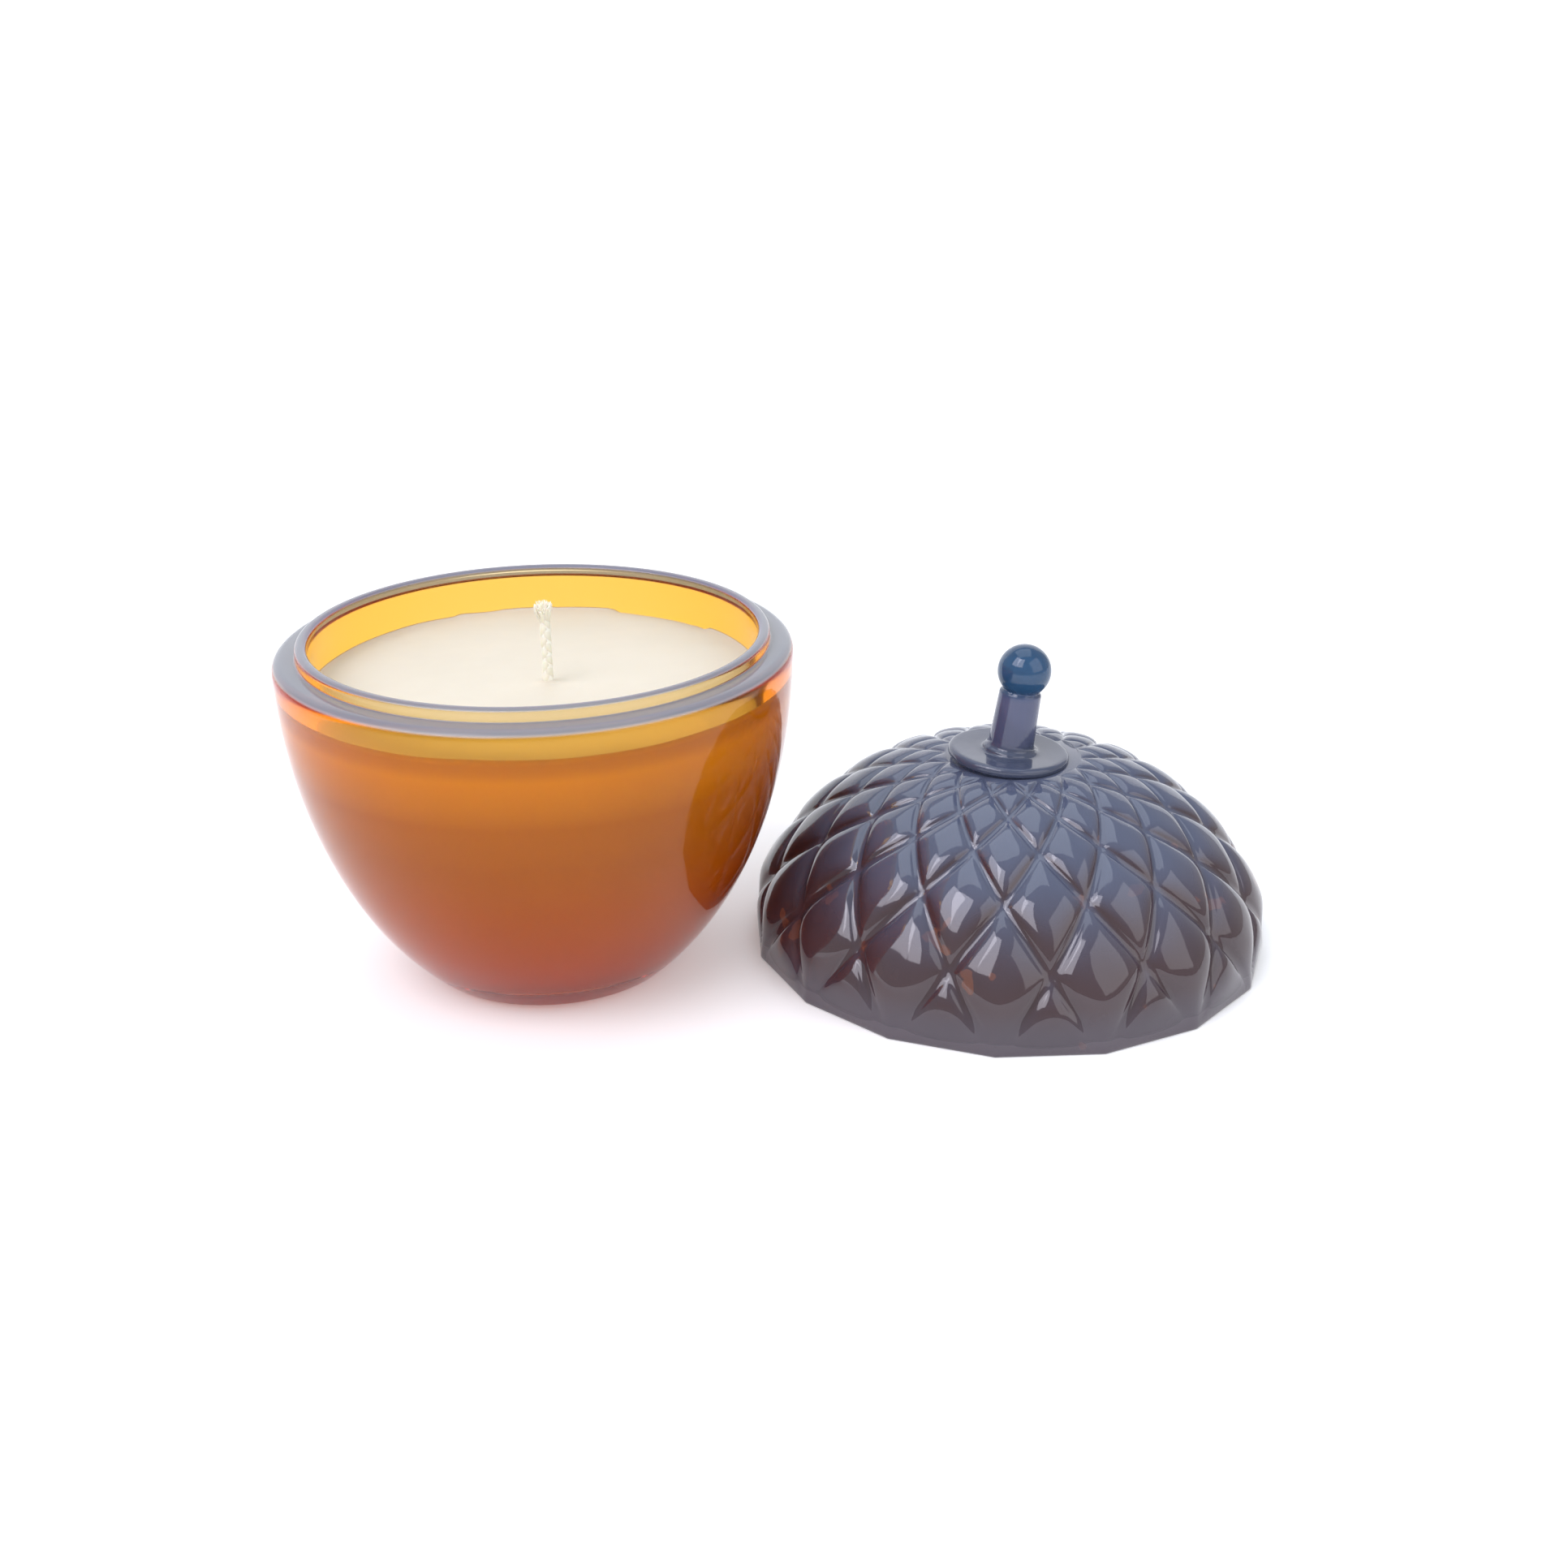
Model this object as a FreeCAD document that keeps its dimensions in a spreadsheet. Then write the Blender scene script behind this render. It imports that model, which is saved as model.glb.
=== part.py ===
import FreeCAD, Part
import Sketcher

import math
import os

V = FreeCAD.Vector

# An acorn-shaped candle jar: a thick glass bowl full of wax with one wick, and the glass
# acorn cap that stands beside it. The origin is the middle of the jar's foot, +Z is up and
# the cap stands on the same surface, out along +X. Lengths are in mm, leans in degrees.
SIZES = {
    # Glass bowl, from the surface that it stands on
    "foot_radius": 20.8,
    "foot_height": 1.2,
    "foot_step": 2.6,
    "foot_round": 0.5,
    "shoulder_height": 61.5,
    "shoulder_radius": 45.4,
    "shoulder_round": 1.8,
    "widest_below_shoulder": 1.5,
    "shoulder_width": 4.1,
    "collar_height": 2.3,
    "lip_round": 0.9,
    "collar_wall": 2.1,
    "straight_mouth": 11.5,
    "floor_thickness": 6.0,
    "floor_radius": 14.0,
    # Wax, wick and the metal tab that holds the wick to the floor
    "wax_below_lip": 8.7,
    "wick_x": 2.0,
    "wick_y": -4.5,
    "wick_radius": 1.0,
    "wick_above_wax": 15.4,
    "tuft_radius": 1.9,
    "tuft_height": 3.2,
    "sticker_thickness": 0.5,
    "tab_radius": 7.5,
    "tab_thickness": 0.3,
    "neck_radius": 1.6,
    "neck_height": 3.4,
    # Cap: its dome of diamond scales
    "collar_clearance": 0.5,
    "seat_clearance": 1.0,
    "cap_overhang": 3.1,
    "cap_tuck": 7.4,
    "cap_turn": 8.9,
    "crown_height": 37.2,
    "land_drop": 1.2,
    "crown_wall": 4.2,
    "ceiling_radius": 8.0,
    "side_fullness": 2.2,
    "crown_fullness": 1.6,
    "scales_around": 16,
    "scale_rows": 6,
    "pillow_rise": 0.04,
    # Cap: the leaning finial fused to its crown
    "finial_x": -1.3,
    "finial_y": -1.0,
    "finial_root": 2.0,
    "disc_radius": 11.2,
    "disc_height": 1.9,
    "disc_round": 0.6,
    "disc_undercut": 0.9,
    "disc_lean": 4.0,
    "stem_foot_radius": 4.25,
    "stem_top_radius": 3.85,
    "stem_lean": 7.5,
    "ball_radius": 4.9,
    "ball_height": 17.0,
}

# Heights and radii that follow from those sizes
COLLAR_RADIUS = "Sizes.shoulder_radius - Sizes.shoulder_width"
COLLAR_TOP = "Sizes.shoulder_height + Sizes.collar_height"
BOWL_CENTRE = "Sizes.shoulder_height - Sizes.widest_below_shoulder"
HEEL_RADIUS = "Sizes.foot_radius + Sizes.foot_step"
MOUTH_RADIUS = COLLAR_RADIUS + " - Sizes.collar_wall"
MOUTH_FOOT = "Sizes.shoulder_height - Sizes.straight_mouth"
WAX_LEVEL = COLLAR_TOP + " - Sizes.wax_below_lip"
STICKER_TOP = "Sizes.floor_thickness + Sizes.sticker_thickness"
TAB_TOP = STICKER_TOP + " + Sizes.tab_thickness"
NECK_TOP = TAB_TOP + " + Sizes.neck_height"
WICK_TIP = WAX_LEVEL + " + Sizes.wick_above_wax"
TUFT_MIDDLE = WICK_TIP + " - Sizes.tuft_height / 2"
TUFT_FOOT = WICK_TIP + " - Sizes.tuft_height"
CAP_BORE = COLLAR_RADIUS + " + Sizes.collar_clearance"
CAP_BORE_TOP = "Sizes.collar_height + Sizes.seat_clearance"
CAP_RIM = "Sizes.shoulder_radius + Sizes.cap_overhang"
CAP_X = "Sizes.shoulder_radius + " + CAP_RIM + " - Sizes.cap_tuck"
LAND = "Sizes.crown_height - Sizes.land_drop"
CEILING = LAND + " - Sizes.crown_wall"
DISC_TOP = "Sizes.finial_root + Sizes.disc_height"
BALL_CENTRE = "Sizes.finial_root + Sizes.ball_height"
ON_AXIS = "0"

# Share of the pillow height that a half scale keeps at the rim and at the crown
HALF_SCALE_RISE = 0.6
# Fine steps along the dome's outline from which the rows of scales are spaced
OUTLINE_STEPS = 2000
# Smallest volume, in cubic mm, that a groove or a pocket has to take away
LEAST_CUT = 1.0


def make_sheet(doc):
    """Put every size in an aliased cell of its own."""
    sheet = doc.addObject("Spreadsheet::Sheet", "Sizes")
    for row, (alias, value) in enumerate(SIZES.items(), start=1):
        sheet.set("A%d" % row, alias)
        sheet.set("B%d" % row, str(value))
        sheet.setAlias("B%d" % row, alias)
    doc.recompute()
    return sheet


def value_of(sheet, expression):
    """The number that an expression on the sheet stands for."""
    return float(sheet.evalExpression(expression.replace("Sizes.", "")))


def new_body(doc, label):
    body = doc.addObject("PartDesign::Body", label)
    body.Label = label
    return body


def origin_plane(body, role):
    return next(part for part in body.Origin.OriginFeatures if part.Role == role)


def new_sketch(body, name, role):
    sketch = body.newObject("Sketcher::SketchObject", name)
    sketch.AttachmentSupport = [(origin_plane(body, role), "")]
    sketch.MapMode = "FlatFace"
    return sketch


def pin_point(sheet, sketch, geometry, point, corner):
    """Hold a sketch point at a corner: an expression for its radius and one for its height."""
    for kind, axis, expression in (("DistanceX", -2, corner[0]), ("DistanceY", -1, corner[1])):
        if expression == ON_AXIS:
            sketch.addConstraint(Sketcher.Constraint("PointOnObject", geometry, point, axis))
            continue
        value = value_of(sheet, expression)
        held = sketch.addConstraint(Sketcher.Constraint(kind, -1, 1, geometry, point, value))
        sketch.setExpression("Constraints[%d]" % held, expression)


def ellipse_through(start, end, centre_height):
    """Arc of an upright ellipse centred on the axis, from one point round to the other."""
    drop_start = centre_height - start.y
    drop_end = centre_height - end.y
    cross = (start.x * drop_end) ** 2 - (end.x * drop_start) ** 2
    wide = math.sqrt(cross / (drop_end ** 2 - drop_start ** 2))
    tall = math.sqrt(cross / (start.x ** 2 - end.x ** 2))
    centre = V(0, centre_height, 0)
    if tall >= wide:
        ellipse = Part.Ellipse(V(0, centre_height - tall, 0), V(wide, centre_height, 0), centre)
        angles = [math.atan2(p.x / wide, (centre_height - p.y) / tall) for p in (start, end)]
    else:
        ellipse = Part.Ellipse(V(wide, centre_height, 0), V(0, centre_height + tall, 0), centre)
        angles = [math.atan2((p.y - centre_height) / tall, p.x / wide) for p in (start, end)]
    return Part.ArcOfEllipse(ellipse, *angles), "Vertical" if tall >= wide else "Horizontal"


def draw_outline(sheet, body, name, corners, ellipses=None):
    """Closed outline in the XZ plane. Corners run anticlockwise, and ellipses says which of
    the sides, by the number of their first corner, bulge round a centre on the axis."""
    sketch = new_sketch(body, name, "XZ_Plane")
    points = [V(value_of(sheet, x), value_of(sheet, z), 0) for x, z in corners]
    sides = []
    for number, start in enumerate(points):
        end = points[(number + 1) % len(points)]
        if ellipses and number in ellipses:
            centre = ellipses[number]
            arc, upright = ellipse_through(start, end, value_of(sheet, centre))
            side = sketch.addGeometry(arc)
            sketch.exposeInternalGeometry(side)
            sketch.addConstraint(Sketcher.Constraint(upright, side + 1))
            pin_point(sheet, sketch, side, 3, (ON_AXIS, centre))
        else:
            side = sketch.addGeometry(Part.LineSegment(start, end))
        sides.append(side)
    for number, side in enumerate(sides):
        pin_point(sheet, sketch, side, 1, corners[number])
        following = sides[(number + 1) % len(sides)]
        sketch.addConstraint(Sketcher.Constraint("Coincident", side, 2, following, 1))
    return sketch


def revolve(body, sketch, kind="PartDesign::Revolution"):
    """Turn an outline round the body's own Z axis, adding it or, as a Groove, cutting it."""
    feature = body.newObject(kind, sketch.Name + "Turn")
    feature.Profile = sketch
    feature.ReferenceAxis = (sketch, ["V_Axis"])
    feature.Angle = 360
    sketch.Visibility = False
    return feature


def turned_body(sheet, doc, label, corners, ellipses=None):
    body = new_body(doc, label)
    revolve(body, draw_outline(sheet, body, label + "_outline", corners, ellipses))
    doc.recompute()
    return body


def require_cut(before, shape, what):
    if before - shape.Volume < LEAST_CUT:
        raise RuntimeError(what + " took nothing away")


def round_edges(sheet, doc, body, radius, rings):
    """Fillet the circular edges that have the given radius and height."""
    base = body.Tip
    wanted = [(value_of(sheet, x), value_of(sheet, z)) for x, z in rings]
    names = []
    for number, edge in enumerate(base.Shape.Edges, start=1):
        if not isinstance(edge.Curve, Part.Circle):
            continue
        size = (edge.Curve.Radius, edge.Curve.Center.z)
        if any(math.dist(size, ring) < 1e-4 for ring in wanted):
            names.append("Edge%d" % number)
    if len(names) != len(rings):
        raise RuntimeError("%s: found %d of %d edges to round" % (radius, len(names), len(rings)))
    fillet = body.newObject("PartDesign::Fillet", radius)
    fillet.Base = (base, names)
    fillet.setExpression("Radius", "Sizes." + radius)
    doc.recompute()


def hollow_corners(top):
    """The inside of the bowl, from its flat floor up to a level, and the side that bulges."""
    corners = [
        (ON_AXIS, "Sizes.floor_thickness"),
        ("Sizes.floor_radius", "Sizes.floor_thickness"),
        (MOUTH_RADIUS, MOUTH_FOOT),
        (MOUTH_RADIUS, top),
        (ON_AXIS, top),
    ]
    return corners, {1: MOUTH_FOOT}


def make_jar_bowl(sheet, doc):
    """Thick glass bowl with a small foot, a rounded shoulder and a thin collar for the cap."""
    shoulder_edge = ("Sizes.shoulder_radius", "Sizes.shoulder_height")
    collar_edge = (COLLAR_RADIUS, COLLAR_TOP)
    mouth_edge = (MOUTH_RADIUS, COLLAR_TOP)
    outside = [
        (ON_AXIS, ON_AXIS),
        ("Sizes.foot_radius", ON_AXIS),
        ("Sizes.foot_radius", "Sizes.foot_height"),
        (HEEL_RADIUS, "Sizes.foot_height"),
        shoulder_edge,
        (COLLAR_RADIUS, "Sizes.shoulder_height"),
        collar_edge,
        (ON_AXIS, COLLAR_TOP),
    ]
    body = turned_body(sheet, doc, "jar_bowl", outside, {3: BOWL_CENTRE})
    before = body.Shape.Volume
    corners, bulge = hollow_corners(COLLAR_TOP)
    hollow = draw_outline(sheet, body, "jar_hollow_outline", corners, bulge)
    revolve(body, hollow, "PartDesign::Groove")
    doc.recompute()
    require_cut(before, body.Shape, "the jar's hollow")
    round_edges(sheet, doc, body, "shoulder_round", [shoulder_edge])
    round_edges(sheet, doc, body, "lip_round", [collar_edge, mouth_edge])
    round_edges(sheet, doc, body, "foot_round", [outside[1], outside[3]])
    return body


def put_at_wick(body):
    body.setExpression("Placement.Base.x", "Sizes.wick_x")
    body.setExpression("Placement.Base.y", "Sizes.wick_y")


def bore_wax(sheet, doc, body, name, radius, foot, top):
    """Round pocket up from a height in the wax, in line with the wick."""
    before = body.Shape.Volume
    sketch = new_sketch(body, name, "XY_Plane")
    sketch.setExpression("AttachmentOffset.Base.z", foot)
    centre = V(value_of(sheet, "Sizes.wick_x"), value_of(sheet, "Sizes.wick_y"), 0)
    circle = sketch.addGeometry(Part.Circle(centre, V(0, 0, 1), value_of(sheet, radius)))
    for kind, alias in (("DistanceX", "Sizes.wick_x"), ("DistanceY", "Sizes.wick_y")):
        value = value_of(sheet, alias)
        held = sketch.addConstraint(Sketcher.Constraint(kind, -1, 1, circle, 3, value))
        sketch.setExpression("Constraints[%d]" % held, alias)
    held = sketch.addConstraint(Sketcher.Constraint("Radius", circle, value_of(sheet, radius)))
    sketch.setExpression("Constraints[%d]" % held, radius)
    pocket = body.newObject("PartDesign::Pocket", name + "_bore")
    pocket.Profile = sketch
    pocket.Reversed = True
    pocket.setExpression("Length", "(%s) - (%s)" % (top, foot))
    sketch.Visibility = False
    doc.recompute()
    require_cut(before, body.Shape, name)


def make_wax_fill(sheet, doc):
    """Wax cast in the bowl, round the tab, its neck and the wick."""
    corners, bulge = hollow_corners(WAX_LEVEL)
    body = turned_body(sheet, doc, "wax_fill", corners, bulge)
    bore_wax(sheet, doc, body, "wax_tab", "Sizes.tab_radius", "Sizes.floor_thickness", TAB_TOP)
    bore_wax(sheet, doc, body, "wax_neck", "Sizes.neck_radius", TAB_TOP, NECK_TOP)
    bore_wax(sheet, doc, body, "wax_wick", "Sizes.wick_radius", NECK_TOP, WAX_LEVEL)
    return body


def make_wick(sheet, doc):
    """Braided wick from the sticker up through the tab, ending in a frayed tuft."""
    corners = [
        (ON_AXIS, STICKER_TOP),
        ("Sizes.wick_radius", STICKER_TOP),
        ("Sizes.wick_radius", TUFT_FOOT),
        ("Sizes.tuft_radius", TUFT_MIDDLE),
        ("Sizes.wick_radius", WICK_TIP),
        (ON_AXIS, WICK_TIP),
    ]
    body = turned_body(sheet, doc, "wick", corners)
    put_at_wick(body)
    return body


def make_wick_tab(sheet, doc):
    """Sheet-metal tab whose crimped neck holds the wick."""
    corners = [
        ("Sizes.wick_radius", STICKER_TOP),
        ("Sizes.tab_radius", STICKER_TOP),
        ("Sizes.tab_radius", TAB_TOP),
        ("Sizes.neck_radius", TAB_TOP),
        ("Sizes.neck_radius", NECK_TOP),
        ("Sizes.wick_radius", NECK_TOP),
    ]
    body = turned_body(sheet, doc, "wick_tab", corners)
    put_at_wick(body)
    return body


def make_tab_sticker(sheet, doc):
    """Double-sided sticker that holds the tab on the bowl's floor."""
    corners = [
        (ON_AXIS, "Sizes.floor_thickness"),
        ("Sizes.tab_radius", "Sizes.floor_thickness"),
        ("Sizes.tab_radius", STICKER_TOP),
        (ON_AXIS, STICKER_TOP),
    ]
    body = turned_body(sheet, doc, "tab_sticker", corners)
    put_at_wick(body)
    return body


def groove_rows(sheet):
    """Radius, height and outward slope of each ring of corners between the scales.

    The rings are as many equal steps apart as there are rows, each step counted in the radius
    where it is taken, so all the scales have one shape and shrink towards the crown."""
    rim = value_of(sheet, CAP_RIM)
    crown = value_of(sheet, "Sizes.crown_height")
    side_power = 2 / value_of(sheet, "Sizes.side_fullness")
    crown_power = 2 / value_of(sheet, "Sizes.crown_fullness")
    last = math.asin((value_of(sheet, LAND) / crown) ** (1 / crown_power))
    turns = [last * step / OUTLINE_STEPS for step in range(OUTLINE_STEPS + 1)]
    line = [(rim * math.cos(t) ** side_power, crown * math.sin(t) ** crown_power) for t in turns]
    reach = [0.0]
    for lower, upper in zip(line, line[1:]):
        reach.append(reach[-1] + 2 * math.dist(lower, upper) / (lower[0] + upper[0]))
    count = int(value_of(sheet, "Sizes.scale_rows"))
    rows = []
    for row in range(count + 1):
        wanted = reach[-1] * row / count
        at = min(range(len(reach)), key=lambda step: abs(reach[step] - wanted))
        lower, upper = line[max(at - 1, 0)], line[min(at + 1, OUTLINE_STEPS)]
        length = math.dist(lower, upper)
        slope = ((upper[1] - lower[1]) / length, (lower[0] - upper[0]) / length)
        rows.append((line[at], slope))
    return rows


def scaled_dome(sheet):
    """Solid dome whose outside is a lattice of pillowed diamonds, each four flat facets."""
    around = int(value_of(sheet, "Sizes.scales_around"))
    pitch = 2 * math.pi / around
    turn = math.radians(value_of(sheet, "Sizes.cap_turn"))
    rise = value_of(sheet, "Sizes.pillow_rise")
    rows = groove_rows(sheet)
    last = len(rows) - 1

    def outward(row, place):
        angle = turn + place * pitch
        across, up = rows[row][1]
        return V(across * math.cos(angle), across * math.sin(angle), up)

    def corner(row, place):
        angle = turn + place * pitch
        radius, height = rows[row][0]
        return V(radius * math.cos(angle), radius * math.sin(angle), height)

    def raised(point, row, place, share=1.0):
        return point + outward(row, place) * (share * rise * rows[row][0][0])

    def pillow(ring, peak):
        return [Part.Face(Part.makePolygon([a, b, peak, a]))
                for a, b in zip(ring, ring[1:] + ring[:1])]

    faces = []
    for number in range(around):
        for row in range(1, last):
            place = number + (row + 1) % 2 / 2
            ring = [corner(row - 1, place), corner(row, place + 0.5),
                    corner(row + 1, place), corner(row, place - 0.5)]
            faces += pillow(ring, raised(corner(row, place), row, place))
        for edge_row, tip_row in ((0, 1), (last, last - 1)):
            place = number + (edge_row + 1) % 2 / 2
            ring = [corner(edge_row, place - 0.5), corner(edge_row, place + 0.5),
                    corner(tip_row, place)]
            middle = (ring[0] + ring[1] + ring[2]) / 3
            faces += pillow(ring, raised(middle, edge_row, place, HALF_SCALE_RISE))
    for row in (0, last):
        places = [number + row % 2 / 2 for number in range(around)]
        ring = [corner(row, place) for place in places]
        faces.append(Part.Face(Part.makePolygon(ring + ring[:1])))
    shell = Part.makeShell(faces)
    shell.sewShape()
    solid = Part.makeSolid(shell)
    if solid.Volume < 0:
        solid.reverse()
    return solid


def make_cap_dome(sheet, doc):
    """Glass dome of diamond scales, hollow below, with a bore that fits over the collar."""
    outside = doc.addObject("Part::Feature", "cap_scales")
    outside.Shape = scaled_dome(sheet)
    corners = [
        (ON_AXIS, ON_AXIS),
        (CAP_BORE, ON_AXIS),
        (CAP_BORE, CAP_BORE_TOP),
        ("Sizes.ceiling_radius", CEILING),
        (ON_AXIS, CEILING),
    ]
    hollow = turned_body(sheet, doc, "cap_hollow", corners, {2: CAP_BORE_TOP})
    dome = doc.addObject("Part::Cut", "cap_dome")
    dome.Label = "cap_dome"
    dome.Base = outside
    dome.Tool = hollow
    dome.setExpression("Placement.Base.x", CAP_X)
    doc.recompute()
    require_cut(outside.Shape.Volume, dome.Shape, "the cap's hollow")
    return dome


def lean_on_crown(body, lean):
    """Root a turned piece under the crown's land and lean it towards +X from there."""
    body.Placement.Rotation = FreeCAD.Rotation(V(0, 1, 0), 1)
    body.setExpression("Placement.Rotation.Angle", lean)
    body.setExpression("Placement.Base.x", CAP_X + " + Sizes.finial_x")
    body.setExpression("Placement.Base.y", "Sizes.finial_y")
    body.setExpression("Placement.Base.z", LAND + " - Sizes.finial_root")


def make_finial_disc(sheet, doc):
    """Round-edged disc, with a slightly smaller root below it that the crown trims."""
    root = "Sizes.disc_radius - Sizes.disc_undercut"
    corners = [
        (ON_AXIS, ON_AXIS),
        (root, ON_AXIS),
        (root, "Sizes.finial_root"),
        ("Sizes.disc_radius", "Sizes.finial_root"),
        ("Sizes.disc_radius", DISC_TOP),
        (ON_AXIS, DISC_TOP),
    ]
    disc = turned_body(sheet, doc, "finial_disc", corners)
    round_edges(sheet, doc, disc, "disc_round", [corners[3], corners[4]])
    lean_on_crown(disc, "Sizes.disc_lean")
    return disc


def make_finial_stem(sheet, doc):
    """Slightly tapered round stem with a ball on its end."""
    corners = [
        (ON_AXIS, ON_AXIS),
        ("Sizes.stem_foot_radius", ON_AXIS),
        ("Sizes.stem_top_radius", BALL_CENTRE),
        (ON_AXIS, BALL_CENTRE),
    ]
    stem = turned_body(sheet, doc, "finial_stem", corners)
    ball = stem.newObject("PartDesign::AdditiveSphere", "finial_ball")
    ball.AttachmentSupport = [(origin_plane(stem, "XY_Plane"), "")]
    ball.MapMode = "FlatFace"
    ball.setExpression("AttachmentOffset.Base.z", BALL_CENTRE)
    ball.setExpression("Radius", "Sizes.ball_radius")
    doc.recompute()
    lean_on_crown(stem, "Sizes.stem_lean")
    return stem


def make_cap_finial(sheet, doc):
    """Disc, stem and ball in one gather of glass, cut flat where the crown's land meets it."""
    gather = doc.addObject("Part::Fuse", "finial_gather")
    gather.Base = make_finial_disc(sheet, doc)
    gather.Tool = make_finial_stem(sheet, doc)
    below = doc.addObject("Part::Box", "below_land")
    side = "4 * Sizes.disc_radius"
    below.setExpression("Length", side)
    below.setExpression("Width", side)
    below.setExpression("Height", side)
    below.setExpression("Placement.Base.x", CAP_X + " + Sizes.finial_x - 2 * Sizes.disc_radius")
    below.setExpression("Placement.Base.y", "Sizes.finial_y - 2 * Sizes.disc_radius")
    below.setExpression("Placement.Base.z", "%s - %s" % (LAND, side))
    finial = doc.addObject("Part::Cut", "cap_finial")
    finial.Label = "cap_finial"
    finial.Base = gather
    finial.Tool = below
    doc.recompute()
    require_cut(gather.Shape.Volume, finial.Shape, "the finial's flat seat")
    return finial


def build():
    doc = FreeCAD.newDocument("candle_jar")
    sheet = make_sheet(doc)
    parts = [
        make_jar_bowl(sheet, doc),
        make_wax_fill(sheet, doc),
        make_wick(sheet, doc),
        make_wick_tab(sheet, doc),
        make_tab_sticker(sheet, doc),
        make_cap_dome(sheet, doc),
        make_cap_finial(sheet, doc),
    ]
    doc.recompute()
    for item in doc.Objects:
        if "Invalid" in item.State or "Error" in item.State:
            raise RuntimeError("%s did not recompute: %s" % (item.Label, item.State))
    os.makedirs("parts", exist_ok=True)
    for part in parts:
        if part.Shape.isNull() or not part.Shape.isValid():
            raise RuntimeError("%s has no valid shape" % part.Label)
        print(part.Label, part.Shape.BoundBox, round(part.Shape.Volume), len(part.Shape.Solids))
        part.Shape.exportStep("parts/%s.step" % part.Label)


build()
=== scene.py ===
import math
import random

import bmesh
import bpy
from mathutils import Matrix, Vector


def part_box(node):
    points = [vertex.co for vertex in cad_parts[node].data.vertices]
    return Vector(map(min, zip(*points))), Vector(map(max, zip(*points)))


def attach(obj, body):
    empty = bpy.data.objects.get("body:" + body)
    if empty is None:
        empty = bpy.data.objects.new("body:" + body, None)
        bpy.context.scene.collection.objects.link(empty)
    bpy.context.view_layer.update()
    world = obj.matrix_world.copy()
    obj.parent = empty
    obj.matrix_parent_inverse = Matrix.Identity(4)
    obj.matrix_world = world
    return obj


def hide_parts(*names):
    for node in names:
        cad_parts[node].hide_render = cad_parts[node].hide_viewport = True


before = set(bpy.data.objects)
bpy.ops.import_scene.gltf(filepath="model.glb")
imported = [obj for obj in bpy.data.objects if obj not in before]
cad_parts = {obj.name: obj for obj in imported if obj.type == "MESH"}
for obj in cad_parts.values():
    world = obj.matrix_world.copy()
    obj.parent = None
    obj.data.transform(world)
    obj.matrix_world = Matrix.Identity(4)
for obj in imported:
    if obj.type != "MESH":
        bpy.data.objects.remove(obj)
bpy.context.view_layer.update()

MM = 0.001
random.seed(7)

# Places that follow from the CAD model
JAR_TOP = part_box("jar_bowl")[1].z / MM
WAX_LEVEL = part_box("wax_fill")[1].z / MM
MOUTH_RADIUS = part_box("wax_fill")[1].x / MM
WICK_LOW, WICK_HIGH = (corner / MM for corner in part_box("wick"))
WICK_X = (WICK_LOW.x + WICK_HIGH.x) / 2
WICK_Y = (WICK_LOW.y + WICK_HIGH.y) / 2
CAP_LOW, CAP_HIGH = (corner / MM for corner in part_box("cap_dome"))
CAP_X = (CAP_LOW.x + CAP_HIGH.x) / 2

# Jar profile, in mm
SHOULDER_HEIGHT = 61.5
SHOULDER_RADIUS = 45.4
SHOULDER_ROUND = 1.8
BOWL_CENTRE = 60.0
COLLAR_RADIUS = 41.3
FOOT_RADIUS = 20.8
HEEL_RADIUS = 23.4
HEEL_HEIGHT = 1.2
FLOOR_HEIGHT = 6.0
FLOOR_RADIUS = 14.0
MOUTH_FOOT = 50.0
LIP_ROUND = 0.9
COLLAR_FILLET = 0.45
FOOT_HOLLOW = [(0, 0.7, 0), (15.0, 0.55, 3.0), (18.6, 0.0, 0.8)]

# Wax surface, in mm and radians
WAX_SKIN = 0.06
EDGE_REACH = 0.55
EDGE_RISE = 0.28
DISH = 0.18
CONE_RISE = 0.75
CONE_REACH = 0.8
WAX_RINGS = (32, 28, 24, 20, 16, 12.5, 9.5, 7, 5, 3.6, 2.6, 1.9, 1.4, 1.05, 0.7, 0.35)
BARE_FROM, BARE_TO = 0.62, 1.22

# Wick, in mm
PLAIT_PITCH = 6.5
STRAND_RADIUS = 0.77
CORE_RADIUS = 0.86
TUFT_HEIGHT = 4.1
TUFT_RADIUS = 1.86
FIBRES = 170
THICK_FIBRES = 60

# Cap profile, in mm
CAP_RIM = 48.5
CROWN = 37.2
LAND = 36.0
SIDE_POWER = 2 / 2.2
CROWN_POWER = 2 / 1.6
SCALES = 16
ROWS = 6
PER_SCALE = 16
CAP_TURN = math.radians(8.9)
PILLOW = 0.04
GROOVE_SHARE = 0.28
SWELL_POWER = 2.8
RIM_LAND = 0.45
BORE = 41.8
BORE_TOP = 3.3
CEILING = 31.8
CEILING_RADIUS = 8.0

# Finial, in mm and degrees
FINIAL_X, FINIAL_Y = -1.3, -1.0
ROOT = 2.0
DISC_RADIUS = 11.2
DISC_HEIGHT = 1.9
DISC_LEAN = 4.0
STEM_FOOT, STEM_TOP = 4.25, 3.85
STEM_LEAN = 7.5
BALL_RADIUS = 4.9
BALL_HEIGHT = 17.0


# ---------------------------------------------------------------- meshes

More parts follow.
